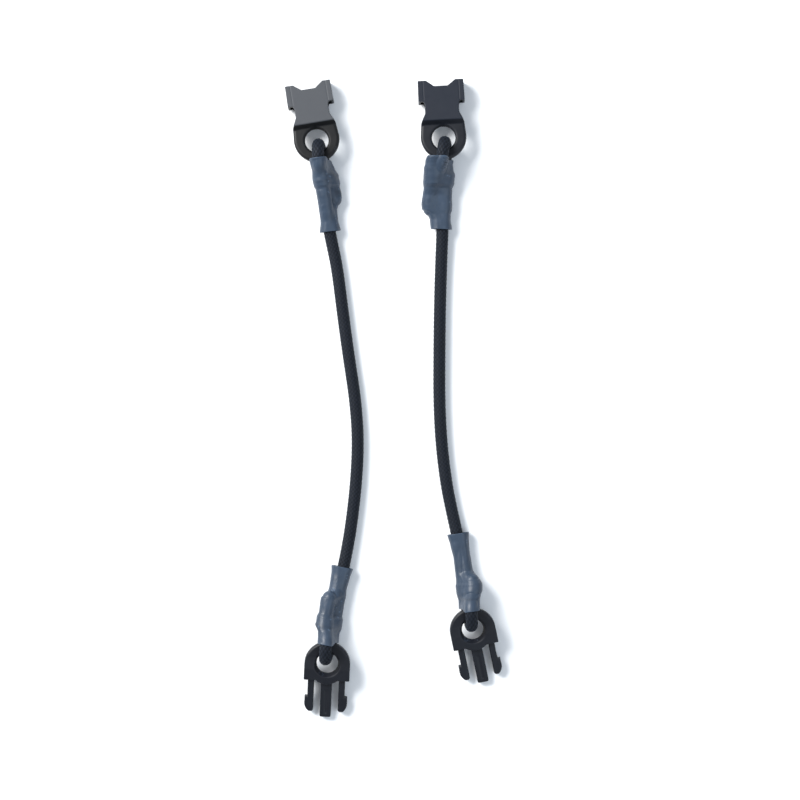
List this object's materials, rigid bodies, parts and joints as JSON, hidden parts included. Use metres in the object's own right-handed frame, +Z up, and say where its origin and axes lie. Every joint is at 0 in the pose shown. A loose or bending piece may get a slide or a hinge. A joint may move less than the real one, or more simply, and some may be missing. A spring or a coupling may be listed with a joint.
{
  "type": "elastic buckle tether",
  "caption": "Matched pair of short elastic cord tethers, each with a miniature side-release buckle socket and plug looped on under shrunk sleeves.",
  "frame": {"origin": "On the table under the middle of the pair, measured without the cords", "axes": "+X to the right-hand tether, +Y to the socket halves, +Z up from the table"},
  "size_m": [0.0722, 0.2124, 0.0126],
  "materials": {
    "moulded_plastic": "fine moulded grain, slightly satin acetal",
    "grey_plastic": "worn, slightly greyed acetal with fine grain",
    "braided_sheath": "tight diamond-braided polyester",
    "elastic_core": "natural latex rubber strands",
    "shrunk_sleeve": "satin heat-shrunk polyolefin with soft wrinkles",
    "waxed_twine": "waxed polyester twine"
  },
  "bodies": {
    "root": {"left_upper_sleeve": "shrunk_sleeve", "left_upper_binding": "waxed_twine", "left_cord_sheath": "braided_sheath", "left_cord_core": "elastic_core"},
    "left_socket": {"left_socket_housing": "grey_plastic"},
    "left_lower_end": {"left_lower_sleeve": "shrunk_sleeve", "left_lower_binding": "waxed_twine"},
    "left_plug": {"left_plug_body": "moulded_plastic"},
    "left_prong_a": {"left_plug_prong_a": "moulded_plastic"},
    "left_prong_b": {"left_plug_prong_b": "moulded_plastic"},
    "right_upper_end": {"right_upper_sleeve": "shrunk_sleeve", "right_upper_binding": "waxed_twine", "right_cord_sheath": "braided_sheath", "right_cord_core": "elastic_core"},
    "right_socket": {"right_socket_housing": "moulded_plastic"},
    "right_lower_end": {"right_lower_sleeve": "shrunk_sleeve", "right_lower_binding": "waxed_twine"},
    "right_plug": {"right_plug_body": "moulded_plastic"},
    "right_prong_a": {"right_plug_prong_a": "moulded_plastic"},
    "right_prong_b": {"right_plug_prong_b": "moulded_plastic"}
  },
  "joints": [
    {"name": "left_socket_swing", "type": "hinge", "parent": "root", "child": "left_socket", "pos_m": [-0.0247, 0.0804, 0.00635], "axis": [0.9866, 0.1633, 0], "range_deg": [-75, 75]},
    {"name": "left_cord_stretch", "type": "slide", "parent": "root", "child": "left_lower_end", "axis": [0.0418, -0.9991, 0], "range_m": [0, 0.07], "stiffness_N_per_m": 700, "deforming": ["left_cord_sheath", "left_cord_core"]},
    {"name": "left_plug_swing", "type": "hinge", "parent": "left_lower_end", "child": "left_plug", "pos_m": [-0.0219, -0.0821, 0.00635], "axis": [-0.999, 0.0454, 0], "range_deg": [-75, 75]},
    {"name": "left_prong_a_flex", "type": "hinge", "parent": "left_plug", "child": "left_prong_a", "pos_m": [-0.02755, -0.09289, 0.00388], "axis": [-0.0099, -0.2179, 0.9759], "range_deg": [0, 7], "stiffness_Nm_per_rad": 0.25},
    {"name": "left_prong_b_flex", "type": "hinge", "parent": "left_plug", "child": "left_prong_b", "pos_m": [-0.01726, -0.09335, 0.00388], "axis": [0.0099, 0.2179, -0.9759], "range_deg": [0, 7], "stiffness_Nm_per_rad": 0.25},
    {"name": "right_tether_lifts", "type": "slide", "parent": "root", "child": "right_upper_end", "axis": [0, 0, 1], "range_m": [0, 0.05]},
    {"name": "right_socket_swing", "type": "hinge", "parent": "right_upper_end", "child": "right_socket", "pos_m": [0.0168, 0.0812, 0.00635], "axis": [0.9984, 0.0558, 0], "range_deg": [-75, 75]},
    {"name": "right_cord_stretch", "type": "slide", "parent": "right_upper_end", "child": "right_lower_end", "axis": [0.0489, -0.9988, 0], "range_m": [0, 0.07], "stiffness_N_per_m": 700, "deforming": ["right_cord_sheath", "right_cord_core"]},
    {"name": "right_plug_swing", "type": "hinge", "parent": "right_lower_end", "child": "right_plug", "pos_m": [0.025, -0.071, 0.00635], "axis": [-0.9792, -0.2028, 0], "range_deg": [-75, 75]},
    {"name": "right_prong_a_flex", "type": "hinge", "parent": "right_plug", "child": "right_prong_a", "pos_m": [0.02219, -0.08285, 0.00388], "axis": [0.0442, -0.2136, 0.9759], "range_deg": [0, 7], "stiffness_Nm_per_rad": 0.25},
    {"name": "right_prong_b_flex", "type": "hinge", "parent": "right_plug", "child": "right_prong_b", "pos_m": [0.03228, -0.08076, 0.00388], "axis": [-0.0442, 0.2136, -0.9759], "range_deg": [0, 7], "stiffness_Nm_per_rad": 0.25}
  ]
}
